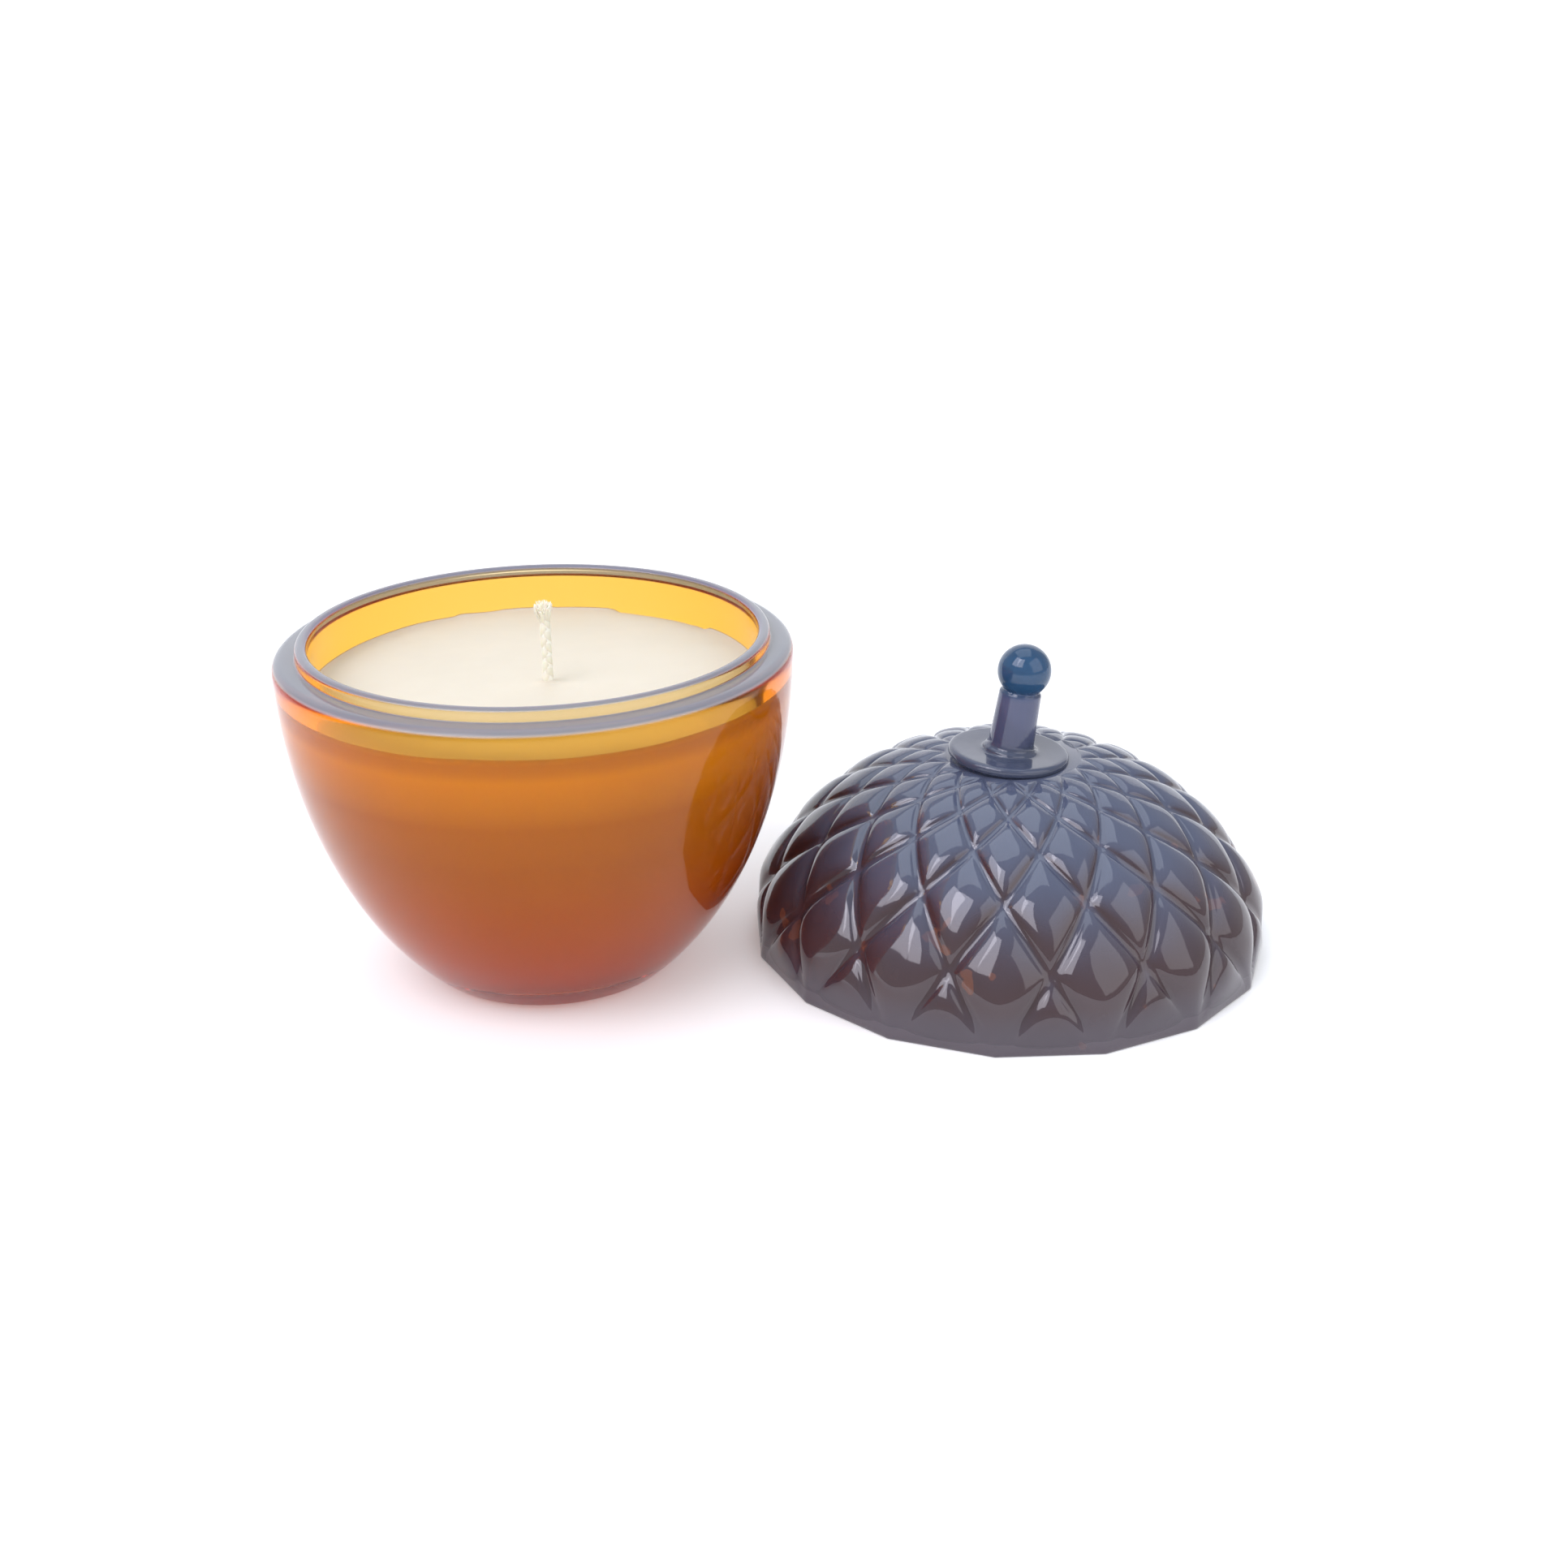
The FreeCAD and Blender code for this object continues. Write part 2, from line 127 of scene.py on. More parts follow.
def finish_mesh(name, bm, body, slot, *nodes):
    """Turn a bmesh in mm into a piece in metres that rides on a body."""
    bmesh.ops.recalc_face_normals(bm, faces=bm.faces)
    bmesh.ops.scale(bm, vec=(MM, MM, MM), verts=bm.verts)
    mesh = bpy.data.meshes.new(name)
    bm.to_mesh(mesh)
    bm.free()
    for face in mesh.polygons:
        face.use_smooth = True
    piece = bpy.data.objects.new(name, mesh)
    bpy.context.scene.collection.objects.link(piece)
    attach(piece, body)
    if nodes:
        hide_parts(*nodes)
    return piece


def rounded(corners, steps=8):
    """Polyline through (radius, height, rounding) corners with each rounding as an arc."""
    line = []
    for number, (x, z, radius) in enumerate(corners):
        here = Vector((x, z))
        if not radius or number in (0, len(corners) - 1):
            line.append(here)
            continue
        back = (Vector(corners[number - 1][:2]) - here).normalized()
        ahead = (Vector(corners[number + 1][:2]) - here).normalized()
        half = back.angle(ahead) / 2
        reach = radius / math.tan(half)
        centre = here + (back + ahead).normalized() * (radius / math.sin(half))
        start, end = here + back * reach - centre, here + ahead * reach - centre
        sweep = start.angle_signed(end)
        for step in range(steps + 1):
            spin = Matrix.Rotation(-sweep * step / steps, 2)
            line.append(centre + spin @ start)
    return line


def ellipse_points(start, end, centre_height, steps):
    """Corners along an upright ellipse centred on the axis, without its two ends."""
    (x0, z0), (x1, z1) = start, end
    d0, d1 = centre_height - z0, centre_height - z1
    cross = (x0 * d1) ** 2 - (x1 * d0) ** 2
    wide = math.sqrt(cross / (d1 ** 2 - d0 ** 2))
    tall = math.sqrt(cross / (x0 ** 2 - x1 ** 2))
    a0, a1 = math.atan2(d0 / tall, x0 / wide), math.atan2(d1 / tall, x1 / wide)
    turns = [a0 + (a1 - a0) * step / steps for step in range(1, steps)]
    return [(wide * math.cos(t), centre_height - tall * math.sin(t), 0) for t in turns]


def lathe(bm, line, angles, centre=(0.0, 0.0), shape=None):
    """Turn a line of (radius, height) points round an axis. shape may move each point."""
    rings = []
    for number, (radius, height) in enumerate(line):
        if radius < 1e-6:
            rings.append([bm.verts.new((centre[0], centre[1], height))])
            continue
        ring = []
        for angle in angles:
            point = Vector((radius * math.cos(angle), radius * math.sin(angle), height))
            if shape:
                point = shape(point, number)
            ring.append(bm.verts.new(point + Vector((centre[0], centre[1], 0))))
        rings.append(ring)
    for lower, upper in zip(rings, rings[1:]):
        join_rings(bm, lower, upper)
    return rings


def join_rings(bm, lower, upper):
    """Faces between two rings. Either ring may be a single point."""
    count = max(len(lower), len(upper))
    for number in range(count):
        after = (number + 1) % count
        corners = []
        for ring, picks in ((lower, (number, after)), (upper, (after, number))):
            corners += [ring[pick] for pick in picks] if len(ring) > 1 else [ring[0]]
        bm.faces.new(corners)


def full_turn(count):
    return [2 * math.pi * number / count for number in range(count)]


def make_jar_glass():
    """Bowl, foot, shoulder and collar as one skin, outside and then inside."""
    outside = FOOT_HOLLOW + [(FOOT_RADIUS, 0.0, 0.5)]
    outside += [(FOOT_RADIUS, HEEL_HEIGHT, 0.35), (HEEL_RADIUS, HEEL_HEIGHT, 0.5)]
    shoulder = (SHOULDER_RADIUS, SHOULDER_HEIGHT)
    side = ellipse_points(shoulder, (HEEL_RADIUS, HEEL_HEIGHT), BOWL_CENTRE, 48)
    # Corners above this would fold back over the start of the shoulder's rounding
    side_end = SHOULDER_HEIGHT - SHOULDER_ROUND - 0.3
    outside += [corner for corner in reversed(side) if corner[1] < side_end]
    outside += [(*shoulder, SHOULDER_ROUND), (COLLAR_RADIUS, SHOULDER_HEIGHT, COLLAR_FILLET)]
    outside += [(COLLAR_RADIUS, JAR_TOP, LIP_ROUND), (MOUTH_RADIUS, JAR_TOP, LIP_ROUND)]
    inside = [(MOUTH_RADIUS, MOUTH_FOOT, 0)]
    inside += ellipse_points((MOUTH_RADIUS, MOUTH_FOOT), (FLOOR_RADIUS, FLOOR_HEIGHT), MOUTH_FOOT, 36)
    inside += [(FLOOR_RADIUS, FLOOR_HEIGHT, 2.0), (0, FLOOR_HEIGHT, 0)]
    bm = bmesh.new()
    lathe(bm, rounded(outside + inside), full_turn(224))
    return finish_mesh("glass_bowl", bm, "jar", "amber_glass", "jar_bowl")


def make_wax():
    """Wax that wets the glass, with a ragged edge, a dished top and a cone at the wick."""
    wall = ellipse_points((MOUTH_RADIUS, MOUTH_FOOT), (FLOOR_RADIUS, FLOOR_HEIGHT), MOUTH_FOOT, 30)
    line = [(0, FLOOR_HEIGHT - WAX_SKIN), (FLOOR_RADIUS - 1, FLOOR_HEIGHT - WAX_SKIN)]
    line += [(x + WAX_SKIN, z - WAX_SKIN * 0.4) for x, z, _ in reversed(wall)]
    line += [(MOUTH_RADIUS + WAX_SKIN, height) for height in (MOUTH_FOOT, WAX_LEVEL - 0.9)]
    side_count = len(line)
    line += [(MOUTH_RADIUS - inset, WAX_LEVEL) for inset in (-WAX_SKIN, 0.25, 0.8, 1.8, 3.5)]
    line += [(radius, WAX_LEVEL) for radius in WAX_RINGS]
    waves = [(random.uniform(3, 11), random.uniform(0, 6.28), random.uniform(0.02, 0.07))
             for _ in range(9)]
    teeth = [(random.uniform(0.6, 2.3), random.uniform(0.03, 0.10), random.uniform(0.25, 0.6))
             for _ in range(7)]

    def ragged(angle):
        edge = sum(height * math.sin(round(rate) * angle + phase) for rate, phase, height in waves)
        for where, width, height in teeth:
            edge += height * max(0.0, 1 - abs(angle - where) / width)
        bare = min(max((angle - BARE_FROM) / 0.03, 0.0), 1.0)
        bare *= min(max((BARE_TO - angle) / 0.04, 0.0), 1.0)
        return edge * 0.6 - 0.75 * bare

    def shape(point, number):
        if number < side_count:
            return point
        radius = math.hypot(point.x, point.y)
        angle = math.atan2(point.y, point.x)
        climb = math.exp(-(MOUTH_RADIUS - min(radius, MOUTH_RADIUS)) / EDGE_REACH)
        share = radius / MOUTH_RADIUS
        centre = Vector((WICK_X, WICK_Y, 0)) * (1 - share)
        moved = Vector((point.x, point.y, WAX_LEVEL)) + centre
        from_wick = math.hypot(moved.x - WICK_X, moved.y - WICK_Y)
        moved.z += climb * (EDGE_RISE + ragged(angle)) - DISH * (1 - share ** 2)
        moved.z += CONE_RISE * math.exp(-max(from_wick - 0.9, 0.0) / CONE_REACH)
        moved.z += 0.05 * math.sin(0.33 * moved.x + 1.0) * math.cos(0.27 * moved.y)
        return moved

    bm = bmesh.new()
    rings = lathe(bm, [Vector(point) for point in line], full_turn(192), shape=shape)
    bm.faces.new(rings[-1])
    return finish_mesh("poured_wax", bm, "jar", "candle_wax", "wax_fill")


def tube(bm, points, radius_at, sides=8):
    """Closed tube through points, with a radius for each share of its length."""
    rings = []
    side = Vector((1, 0, 0))
    for number, point in enumerate(points):
        along = (points[min(number + 1, len(points) - 1)] - points[max(number - 1, 0)]).normalized()
        side = (side - along * side.dot(along)).normalized()
        other = along.cross(side)
        radius = radius_at(number / (len(points) - 1))
        rings.append([bm.verts.new(point + (side * math.cos(a) + other * math.sin(a)) * radius)
                      for a in full_turn(sides)])
    for lower, upper in zip(rings, rings[1:]):
        join_rings(bm, lower, upper)
    bm.faces.new(rings[0])
    bm.faces.new(rings[-1])


def make_wick():
    """Plaited cotton wick with a frayed tuft of fibres on its end."""
    bm = bmesh.new()
    foot, neck = WICK_LOW.z, WICK_HIGH.z - TUFT_HEIGHT
    turns = (neck - foot) / PLAIT_PITCH
    for strand in range(3):
        points = []
        for step in range(260):
            share = step / 259
            phase = 2 * math.pi * (turns * share + strand / 3)
            lean = 0.03 * math.sin(5.0 * share + 0.4)
            points.append(Vector((WICK_X + 0.20 * math.sin(phase) + lean,
                                  WICK_Y + 0.16 * math.sin(2 * phase),
                                  foot + (neck + 1.0 - foot) * share)))
        tube(bm, points, lambda share: STRAND_RADIUS, 12)
    middle = Vector((WICK_X, WICK_Y, neck))
    tube(bm, [Vector((WICK_X, WICK_Y, foot)), middle], lambda share: CORE_RADIUS, 16)
    for fibre in range(FIBRES):
        bundle = fibre < THICK_FIBRES
        angle = random.uniform(0, 2 * math.pi)
        spread = random.uniform(0.45, 1.0) if bundle else math.sqrt(random.random())
        reach = random.uniform(0.45, 0.95) if bundle else random.uniform(0.60, 1.0)
        start = middle + Vector((0.6 * spread * math.cos(angle), 0.5 * spread * math.sin(angle), 0))
        out = Vector((1.75 * math.cos(angle) - 0.75, 1.1 * math.sin(angle), 0)) * (spread * reach)
        bow = random.uniform(0.75, 1.25)
        twist = Vector((random.uniform(-1, 1), random.uniform(-1, 1), 0)) * 0.2
        thick = random.uniform(0.24, 0.36) if bundle else random.uniform(0.09, 0.16)
        points = []
        for step in range(7):
            share = step / 6
            lift = 4.3 * reach * share * (1 - 0.15 * spread * share)
            side = start + out * share ** bow + twist * math.sin(3.0 * share) * share - middle
            side *= min(1.0, (TUFT_RADIUS - thick) / max(side.length, 0.01))
            points.append(middle + side + Vector((0, 0, lift - 0.3)))
        tube(bm, points, lambda share, t=thick: t * (1.1 - 0.65 * share ** 2), 6)
    return finish_mesh("cotton_wick", bm, "jar", "cotton_wick", "wick")


def dome_outline():
    """Places along the dome's outline, counted so that all scales have one shape."""
    last = math.asin((LAND / CROWN) ** (1 / CROWN_POWER))
    fine = 4000
    turns = [last * step / fine for step in range(fine + 1)]
    line = [(CAP_RIM * math.cos(t) ** SIDE_POWER, CROWN * math.sin(t) ** CROWN_POWER) for t in turns]
    reach = [0.0]
    for lower, upper in zip(line, line[1:]):
        reach.append(reach[-1] + 2 * math.dist(lower, upper) / (lower[0] + upper[0]))
    return line, reach


def make_dome():
    """Lattice of pillowed scales whose grooves run along the mesh's own edges."""
    line, reach = dome_outline()
    cursor = 0
    levels = []
    for row in range(ROWS * PER_SCALE + 1):
        wanted = reach[-1] * row / (ROWS * PER_SCALE)
        while cursor < len(reach) - 2 and reach[cursor + 1] < wanted:
            cursor += 1
        share = (wanted - reach[cursor]) / (reach[cursor + 1] - reach[cursor])
        here, after = Vector(line[cursor]), Vector(line[cursor + 1])
        slope = (after - here).normalized()
        levels.append((here.lerp(after, min(max(share, 0), 1)), Vector((slope.y, -slope.x))))
    around = 2 * PER_SCALE * SCALES
    bm = bmesh.new()
    verts = {}

    def swell(share):
        return 1 - abs(2 * (share % 1.0) - 1) ** SWELL_POWER

    for row, (point, normal) in enumerate(levels):
        height_share = row / PER_SCALE
        for across in range(row % 2, around, 2):
            p = (row + across) / (2 * PER_SCALE)
            q = (row - across) / (2 * PER_SCALE)
            pillow = (swell(p) * swell(q)) ** 0.62
            settle = min(height_share / 0.75, 1.0)
            settle = settle * settle * (3 - 2 * settle)
            top_settle = min((ROWS - height_share) / 0.5, 1.0)
            rise = PILLOW * point.x * ((1 + GROOVE_SHARE) * pillow - GROOVE_SHARE)
            rise *= settle * (0.45 + 0.55 * top_settle)
            turn = across / around * 2 * math.pi
            off_middle = (turn * SCALES / (2 * math.pi)) % 1.0 - 0.5
            chord = math.cos(math.pi / SCALES) / math.cos(off_middle * 2 * math.pi / SCALES)
            flat = max(0.0, 1 - height_share / 0.9) ** 1.4
            radius = point.x * (1 + (chord - 1) * flat) + rise * normal.x
            angle = CAP_TURN + turn
            verts[across, row] = bm.verts.new((CAP_X + radius * math.cos(angle),
                                               radius * math.sin(angle), point.y + rise * normal.y))
    for row in range(-1, ROWS * PER_SCALE):
        for across in range(row % 2, around, 2):
            keys = [(across, row), ((across + 1) % around, row + 1), (across, row + 2),
                    ((across - 1) % around, row + 1)]
            corners = [verts[key] for key in keys if key in verts]
            if len(corners) > 2:
                bm.faces.new(corners)
    rim = [verts[across, 0] for across in range(0, around, 2)]
    land = [verts[across, ROWS * PER_SCALE] for across in range(0, around, 2)]
    bm.faces.new(land)
    angles = [CAP_TURN + across / around * 2 * math.pi for across in range(0, around, 2)]
    edge = []
    for drop, pull in ((0.14, 0.10), (0.0, 0.45)):
        ring = []
        for vert in rim:
            inward = Vector((CAP_X, 0, 0)) - vert.co
            inward.z = 0
            place = (vert.co + inward.normalized() * pull).xy.to_3d()
            ring.append(bm.verts.new(place + Vector((0, 0, drop))))
        edge.append(ring)
    for vert in rim:
        vert.co.z = RIM_LAND
    join_rings(bm, edge[0], rim)
    join_rings(bm, edge[1], edge[0])
    inner = rounded([(BORE + 0.9, 0, 0), (BORE, 0, 0.5), (BORE, BORE_TOP, 0)]
                    + ellipse_points((BORE, BORE_TOP), (CEILING_RADIUS, CEILING), BORE_TOP, 28)
                    + [(CEILING_RADIUS, CEILING, 0), (0, CEILING, 0)])
    rings = lathe(bm, inner, angles, centre=(CAP_X, 0.0))
    join_rings(bm, rings[0], edge[1])
    return finish_mesh("scaled_cap", bm, "cap", "smoky_glass", "cap_dome")


def leaning(bm, line, lean):
    """Lathe a line on the crown and lean it towards +X from its root."""
    before = set(bm.verts)
    lathe(bm, [Vector(point) for point in line], full_turn(96))
    place = Matrix.Translation((CAP_X + FINIAL_X, FINIAL_Y, LAND - ROOT))
    place = place @ Matrix.Rotation(math.radians(lean), 4, "Y")
    new = [vert for vert in bm.verts if vert not in before]
    bmesh.ops.transform(bm, matrix=place, verts=new)


def make_finial():
    """Disc, stem and ball of one gather, fused by remeshing them as one skin."""
    disc = rounded([(0, 0.6, 0), (DISC_RADIUS - 1.3, 0.6, 0), (DISC_RADIUS - 0.9, ROOT, 0.3),
                    (DISC_RADIUS, ROOT + 0.1, 0.75), (DISC_RADIUS - 0.05, ROOT + DISC_HEIGHT, 0.85),
                    (DISC_RADIUS - 2.4, ROOT + DISC_HEIGHT - 0.12, 1.5),
                    (STEM_FOOT + 2.0, ROOT + DISC_HEIGHT - 0.25, 1.0), (0, ROOT + DISC_HEIGHT - 0.25, 0)])
    top = ROOT + DISC_HEIGHT
    ball = []
    middle = ROOT + BALL_HEIGHT
    neck = math.asin(0.78)
    for step in range(29):
        turn = -neck + (math.pi / 2 + neck) * step / 28
        ball.append((BALL_RADIUS * math.cos(turn), middle + BALL_RADIUS * math.sin(turn), 0))
    ball[-1] = (0, middle + BALL_RADIUS, 0)
    stem = rounded([(0, 1.2, 0), (STEM_FOOT + 0.7, 1.2, 0), (STEM_FOOT + 0.85, top + 0.25, 0.35),
                    (STEM_FOOT + 0.15, top + 0.55, 0.25), (STEM_FOOT - 0.05, top + 1.2, 0.6),
                    (STEM_TOP, middle - BALL_RADIUS * 0.80, 0.3)] + ball)
    bm = bmesh.new()
    leaning(bm, disc, DISC_LEAN)
    leaning(bm, stem, STEM_LEAN)
    piece = finish_mesh("finial", bm, "cap", "blue_glass", "cap_finial")
    remesh = piece.modifiers.new("fuse", "REMESH")
    remesh.mode = "VOXEL"
    remesh.voxel_size = 0.22 * MM
    remesh.use_smooth_shade = True
    smooth = piece.modifiers.new("polish", "SMOOTH")
    smooth.factor = 0.5
    smooth.iterations = 5
    graph = bpy.context.evaluated_depsgraph_get()
    fused = bpy.data.meshes.new_from_object(piece.evaluated_get(graph))
    piece.modifiers.clear()
    piece.data = fused
    for face in fused.polygons:
        face.use_smooth = True
    return piece


# ------------------------------------------------------------- materials

class Nodes:
    """Short calls for building one material's nodes."""

    def __init__(self, name):
        self.material = bpy.data.materials.new(name)
        self.material.use_nodes = True
        self.tree = self.material.node_tree
        self.shader = self.tree.nodes["Principled BSDF"]
        self.place = self.tree.nodes.new("ShaderNodeTexCoord").outputs["Object"]

    def new(self, kind, **settings):
        node = self.tree.nodes.new(kind)
        for key, value in settings.items():
            setattr(node, key, value)
        return node

    def link(self, source, target):
        self.tree.links.new(source, target)

    def put(self, socket, value):
        """Join an output to a socket, or set the socket to a plain value."""
        if isinstance(value, bpy.types.NodeSocket):
            self.link(value, socket)
        else:
            socket.default_value = value

    def set(self, **values):
        for key, value in values.items():
            self.put(self.shader.inputs[key.replace("_", " ")], value)

    def math(self, operation, a, b=0.0):
        node = self.new("ShaderNodeMath", operation=operation)
        for socket, value in zip(node.inputs, (a, b)):
            self.put(socket, value)
        return node.outputs[0]

    def axis(self, name, vector=None):
        split = self.new("ShaderNodeSeparateXYZ")
        self.link(vector or self.place, split.inputs[0])
        return split.outputs[name]

    def step(self, value, low, high, start=0.0, end=1.0):
        """Smooth change from start to end as value goes from low to high."""
        node = self.new("ShaderNodeMapRange", interpolation_type="SMOOTHSTEP")
        for key, number in (("Value", value), ("From Min", low), ("From Max", high),
                            ("To Min", start), ("To Max", end)):
            self.put(node.inputs[key], number)
        return node.outputs[0]

    def ramp(self, value, *stops):
        node = self.new("ShaderNodeValToRGB")
        self.link(value, node.inputs[0])
        marks = node.color_ramp.elements
        while len(marks) < len(stops):
            marks.new(0.5)
        for mark, (place, colour) in zip(marks, stops):
            mark.position = place
            mark.color = (*colour, 1)
        return node.outputs[0]

    def mix(self, share, a, b, kind="MIX"):
        node = self.new("ShaderNodeMix", data_type="RGBA", blend_type=kind)
        self.put(node.inputs["Factor"], share)
        for socket, value in ((node.inputs[6], a), (node.inputs[7], b)):
            self.put(socket, (*value, 1) if isinstance(value, tuple) else value)
        return node.outputs[2]

    def noise(self, scale, detail=3.0, stretch=None):
        node = self.new("ShaderNodeTexNoise")
        node.inputs["Scale"].default_value = scale
        node.inputs["Detail"].default_value = detail
        if stretch:
            mapping = self.new("ShaderNodeMapping")
            mapping.inputs["Scale"].default_value = stretch
            self.link(self.place, mapping.inputs[0])
            self.link(mapping.outputs[0], node.inputs["Vector"])
        else:
            self.link(self.place, node.inputs["Vector"])
        return node.outputs[0]

    def bump(self, height, strength, distance):
        node = self.new("ShaderNodeBump")
        node.inputs["Strength"].default_value = strength
        node.inputs["Distance"].default_value = distance
        self.link(height, node.inputs["Height"])
        self.link(node.outputs[0], self.shader.inputs["Normal"])

    def absorb(self, colour, density):
        """Tint by the depth of glass that light goes through."""
        node = self.new("ShaderNodeVolumeAbsorption")
        node.inputs["Color"].default_value = (*colour, 1)
        node.inputs["Density"].default_value = density
        self.link(node.outputs[0], self.tree.nodes["Material Output"].inputs["Volume"])

    def facing_up(self):
        return self.axis("Z", self.new("ShaderNodeNewGeometry").outputs["Normal"])

    def from_axis(self):
        """Distance from the jar's own axis."""
        squares = [self.math("MULTIPLY", part, part) for part in (self.axis("X"), self.axis("Y"))]
        return self.math("SQRT", self.math("ADD", *squares))


def amber_glass():
    """Amber glass, with a painted slate reflection of the sky on the faces of the shoulder and collar
    that look up.
    """
    n = Nodes("amber glass")
    height = n.axis("Z")
    # Painted reflection: faces of the shoulder and collar rim that look up get slate in place of a
    # reflection of the sky
    rim = n.step(height, 0.0599, 0.0607)
    painted_reflection_facing_up = n.step(n.facing_up(), 0.30, 0.75, 0.0, 0.85)
    top = n.math("MULTIPLY", painted_reflection_facing_up, rim)
    inner = n.math("MULTIPLY", n.step(height, 0.050, 0.0565), n.step(n.from_axis(), 0.0402, 0.0394))
    body = n.mix(inner, (0.99, 0.97, 0.95), (0.80, 0.74, 0.94))
    # The painted slate reflection goes into the colour, and transmission drops to 0.12 under it
    n.set(Base_Color=n.mix(top, body, (0.112, 0.132, 0.178)))
    n.set(Transmission_Weight=n.step(top, 0.0, 1.0, 1.0, 0.12), IOR=1.5, Specular_IOR_Level=0.3)
    n.set(Specular_Tint=(0.55, 0.50, 0.50, 1.0))
    edge = n.math("MULTIPLY", n.step(height, 0.0585, 0.0600), n.step(height, 0.0616, 0.0612))
    fine = n.step(n.noise(90.0), 0.3, 0.7, 0.03, 0.06)
    n.set(Roughness=n.math("ADD", fine, n.math("MULTIPLY", edge, 0.10)))
    n.bump(n.noise(38.0, 2.0), 0.2, 0.0004)
    n.absorb((0.980, 0.798, 0.060), 420.0)
    return n.material


def candle_wax():
    """Cream wax, with light and shade painted by height where amber glass is in front of it: darker and
    warmer lower down, lighter towards its surface, brightest in a band just under it.
    """
    n = Nodes("candle wax")
    height = n.axis("Z")
    cloud = n.mix(n.noise(45.0, 5.0), (0.67, 0.61, 0.49), (0.74, 0.68, 0.56))
    # Painted light and shade by height: darker and warmer lower down, a bright yellow band just under the
    # surface
    depth = n.ramp(n.step(height, 0.0, 0.0548), (0.0, (0.95, 0.62, 0.48)), (0.45, (0.92, 0.61, 0.48)),
                   (0.70, (0.87, 0.65, 0.49)), (0.88, (0.95, 0.80, 0.56)), (0.99, (1.34, 1.42, 0.82)),
                   (1.0, (1.0, 1.0, 1.0)))
    n.set(Base_Color=n.mix(1.0, cloud, depth, "MULTIPLY"))
    n.set(Roughness=n.step(n.noise(160.0), 0.3, 0.7, 0.42, 0.55), Subsurface_Weight=0.2)
    n.set(Subsurface_Scale=0.003, Specular_IOR_Level=0.35)
    n.shader.inputs["Subsurface Radius"].default_value = (1.0, 0.75, 0.5)
    n.bump(n.noise(260.0, 4.0), 0.12, 0.0003)
    return n.material


def waxed_cotton():
    n = Nodes("waxed cotton")
    fibres = n.noise(900.0, 3.0, (1.0, 1.0, 0.25))
    n.set(Base_Color=n.mix(fibres, (0.92, 0.84, 0.66), (1.0, 0.96, 0.85)))
    n.set(Roughness=n.step(fibres, 0.3, 0.7, 0.6, 0.85), Subsurface_Weight=0.15)
    n.set(Subsurface_Scale=0.001, Sheen_Weight=0.3)
    n.bump(fibres, 0.3, 0.0002)
    return n.material


def smoky_glass():
    """Dark brown glass, with painted amber glints, a painted mauve haze of reflected light that is
    stronger low down, and a painted slate reflection of the sky where it looks up.
    """
    n = Nodes("smoky glass")
    height = n.axis("Z")
    brown = n.mix(n.noise(30.0), (0.046, 0.013, 0.011), (0.080, 0.031, 0.029))
    # Painted glints: small amber patches mixed into the brown stand in for light shining through the
    # glass
    painted_glint = n.step(n.noise(150.0, 2.0), 0.655, 0.685)
    brown = n.mix(painted_glint, brown, (0.24, 0.070, 0.022))
    # Painted haze: mauve stands in for a haze of reflected light, at a share of 0.35 everywhere and up to
    # 0.8 near the rim
    mauve = n.mix(n.noise(26.0), (0.064, 0.052, 0.074), (0.104, 0.086, 0.120))
    # Painted reflection: slate stands in for a reflection of the sky on faces that look up
    slate = n.mix(n.noise(24.0), (0.088, 0.106, 0.178), (0.145, 0.168, 0.260))
    low = n.step(height, 0.013, 0.003, 0.0, 0.8)
    body = n.mix(n.math("MAXIMUM", 0.35, low), brown, mauve)
    # Share of the painted slate reflection: faces that look up, weaker low on the dome
    upper = n.step(height, 0.008, 0.028, 0.20, 1.0)
    share = n.math("MULTIPLY", n.step(n.facing_up(), 0.35, 0.90), upper)
    n.set(Base_Color=n.mix(share, body, slate))
    n.set(Transmission_Weight=0.35, IOR=1.52, Specular_IOR_Level=0.8)
    n.set(Roughness=n.step(n.noise(70.0), 0.3, 0.7, 0.035, 0.08))
    n.bump(n.noise(60.0, 2.0), 0.35, 0.0005)
    return n.material


def blue_glass():
    """Slate disc, bluer stem and blue ball, by height."""
    n = Nodes("blue glass")
    height = n.axis("Z")
    slate = n.mix(n.noise(60.0), (0.066, 0.084, 0.142), (0.110, 0.128, 0.205))
    stem = n.mix(n.noise(70.0), (0.070, 0.085, 0.170), (0.120, 0.135, 0.240))
    ball = n.mix(n.noise(80.0), (0.017, 0.070, 0.165), (0.034, 0.108, 0.225))
    shaft = n.mix(n.step(height, 0.0385, 0.0400), slate, stem)
    n.set(Base_Color=n.mix(n.step(height, 0.0475, 0.0505), shaft, ball))
    n.set(Transmission_Weight=0.35, IOR=1.55)
    n.set(Roughness=n.step(n.noise(110.0), 0.3, 0.7, 0.04, 0.09))
    n.bump(n.noise(90.0, 2.0), 0.3, 0.0003)
    return n.material


def tinned_steel():
    n = Nodes("tinned steel")
    grain = n.noise(600.0, 4.0)
    n.set(Base_Color=n.mix(grain, (0.55, 0.56, 0.57), (0.72, 0.73, 0.74)), Metallic=1.0)
    n.set(Roughness=n.step(grain, 0.3, 0.7, 0.25, 0.45))
    n.bump(grain, 0.2, 0.0001)
    return n.material


def sticker_foam():
    n = Nodes("sticker foam")
    cells = n.noise(1400.0, 2.0)
    n.set(Base_Color=n.mix(cells, (0.80, 0.80, 0.78), (0.92, 0.92, 0.90)), Roughness=0.9)
    n.bump(cells, 0.4, 0.0001)
    return n.material


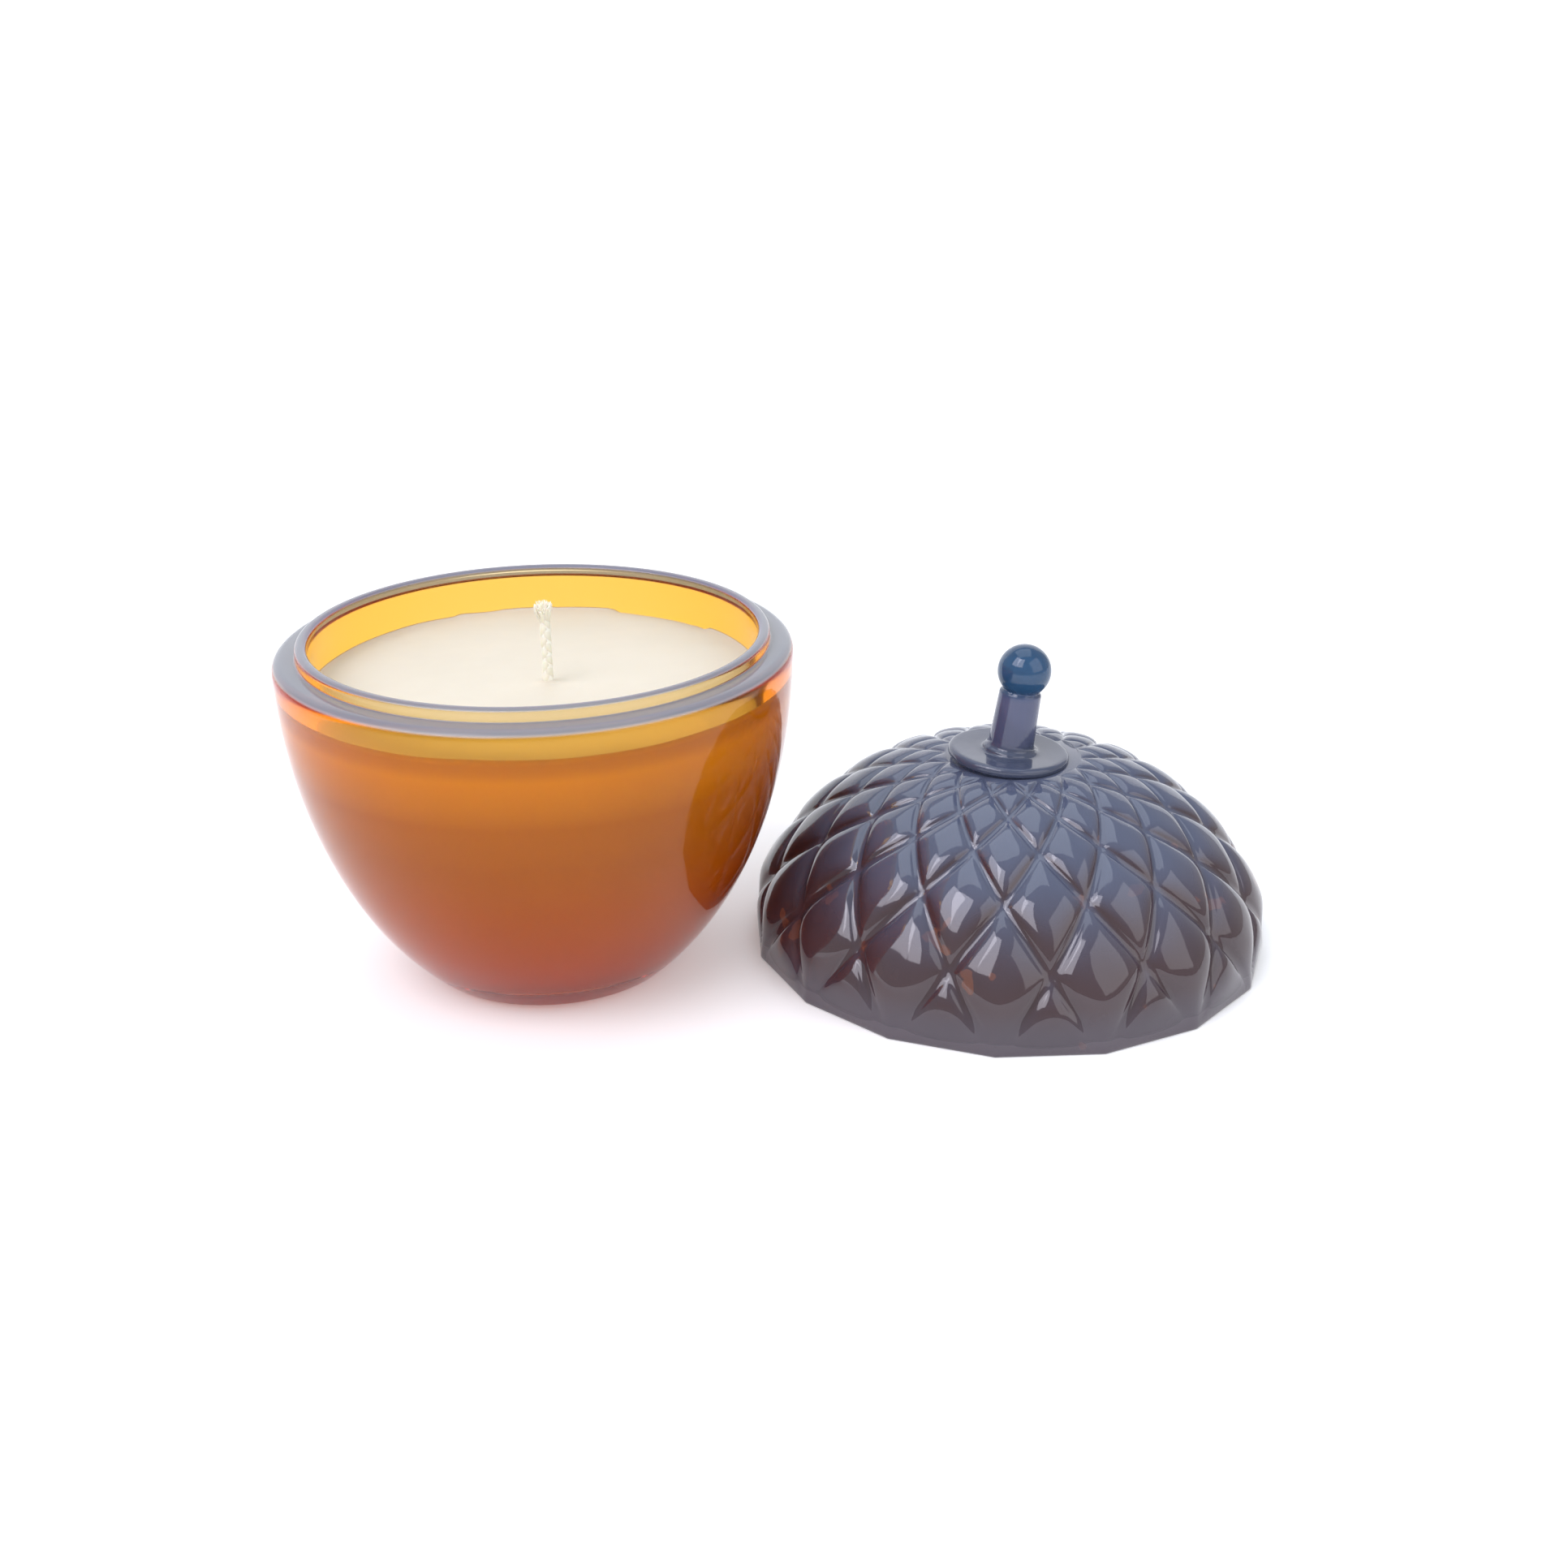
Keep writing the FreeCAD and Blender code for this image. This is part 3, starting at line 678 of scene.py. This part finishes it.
def pale_floor():
    """White floor that glows more towards the backdrop's sweep."""
    n = Nodes("pale floor")
    n.set(Base_Color=n.mix(n.noise(14.0), (0.90, 0.90, 0.90), (0.93, 0.93, 0.93)), Roughness=0.9)
    n.set(Specular_IOR_Level=0.1, Emission_Color=(1.0, 1.0, 1.0, 1.0))
    n.set(Emission_Strength=n.step(n.axis("Y"), 0.5, 2.2, 0.22, 0.60))
    return n.material


# ----------------------------------------------------- stage and camera

def make_floor():
    """Floor that sweeps up behind the object as a backdrop."""
    bm = bmesh.new()
    half, front, back, bend = 2.5, -2.0, 1.6, 0.8
    line = [(front, 0.0), (back, 0.0)]
    for step in range(1, 17):
        turn = math.pi / 2 * step / 16
        line.append((back + bend * math.sin(turn), bend * (1 - math.cos(turn))))
    line.append((back + bend, 2.5))
    rows = [[bm.verts.new((x, y, z)) for x in (-half, half)] for y, z in line]
    for lower, upper in zip(rows, rows[1:]):
        bm.faces.new((lower[0], lower[1], upper[1], upper[0]))
    mesh = bpy.data.meshes.new("floor")
    bm.to_mesh(mesh)
    bm.free()
    for face in mesh.polygons:
        face.use_smooth = True
    floor = bpy.data.objects.new("floor", mesh)
    floor.data.materials.append(pale_floor())
    bpy.context.scene.collection.objects.link(floor)


def area_light(name, place, target, size, energy, colour):
    light = bpy.data.lights.new(name, "AREA")
    light.shape = "RECTANGLE"
    light.size, light.size_y = size
    light.energy = energy
    light.color = colour
    lamp = bpy.data.objects.new(name, light)
    lamp.location = place
    lamp.rotation_euler = (Vector(target) - Vector(place)).to_track_quat("-Z", "Y").to_euler()
    bpy.context.scene.collection.objects.link(lamp)


def make_world():
    world = bpy.data.worlds.new("studio")
    bpy.context.scene.world = world
    world.use_nodes = True
    tree = world.node_tree
    coords = tree.nodes.new("ShaderNodeTexCoord")
    split = tree.nodes.new("ShaderNodeSeparateXYZ")
    ramp = tree.nodes.new("ShaderNodeValToRGB")
    tree.links.new(coords.outputs["Generated"], split.inputs[0])
    tree.links.new(split.outputs["Z"], ramp.inputs[0])
    stops = ramp.color_ramp.elements
    stops[0].position, stops[0].color = 0.15, (1.0, 0.98, 0.97, 1)
    stops[1].position, stops[1].color = 0.85, (0.86, 0.93, 1.0, 1)
    background = tree.nodes["Background"]
    tree.links.new(ramp.outputs[0], background.inputs["Color"])
    background.inputs["Strength"].default_value = 0.62


def make_camera():
    camera = bpy.data.cameras.new("camera")
    camera.sensor_width = 36.0
    camera.lens = 42.02
    camera.clip_start = 0.01
    view = bpy.data.objects.new("camera", camera)
    turn = Matrix.Rotation(math.radians(-5.175), 4, "Z")
    tilt = Matrix.Rotation(math.radians(90 - 22.805), 4, "X")
    roll = Matrix.Rotation(math.radians(-0.338), 4, "Z")
    view.matrix_world = Matrix.Translation((0.01571, -0.31011, 0.16295)) @ turn @ tilt @ roll
    bpy.context.scene.collection.objects.link(view)
    bpy.context.scene.camera = view


def dress(piece, material):
    piece.data.materials.clear()
    piece.data.materials.append(material)


dress(make_jar_glass(), amber_glass())
dress(make_wax(), candle_wax())
dress(make_wick(), waxed_cotton())
dress(make_dome(), smoky_glass())
dress(make_finial(), blue_glass())
dress(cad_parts["wick_tab"], tinned_steel())
dress(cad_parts["tab_sticker"], sticker_foam())

make_floor()
make_world()
make_camera()
for side in (-1, 1):
    area_light("window_pane", (-0.60 + 0.14 * side, -0.52 - 0.16 * side, 1.04), (0.05, 0.0, 0.03),
               (0.56, 0.86), 5.2, (0.93, 0.90, 1.0))
area_light("fill", (0.95, -0.75, 0.75), (0.04, 0.0, 0.03), (1.2, 1.2), 5.0, (0.98, 0.96, 1.0))
area_light("overhead", (0.05, 0.25, 1.1), (0.05, 0.0, 0.0), (0.9, 0.9), 3.2, (0.82, 0.90, 1.0))
bpy.context.scene.view_settings.view_transform = "Standard"
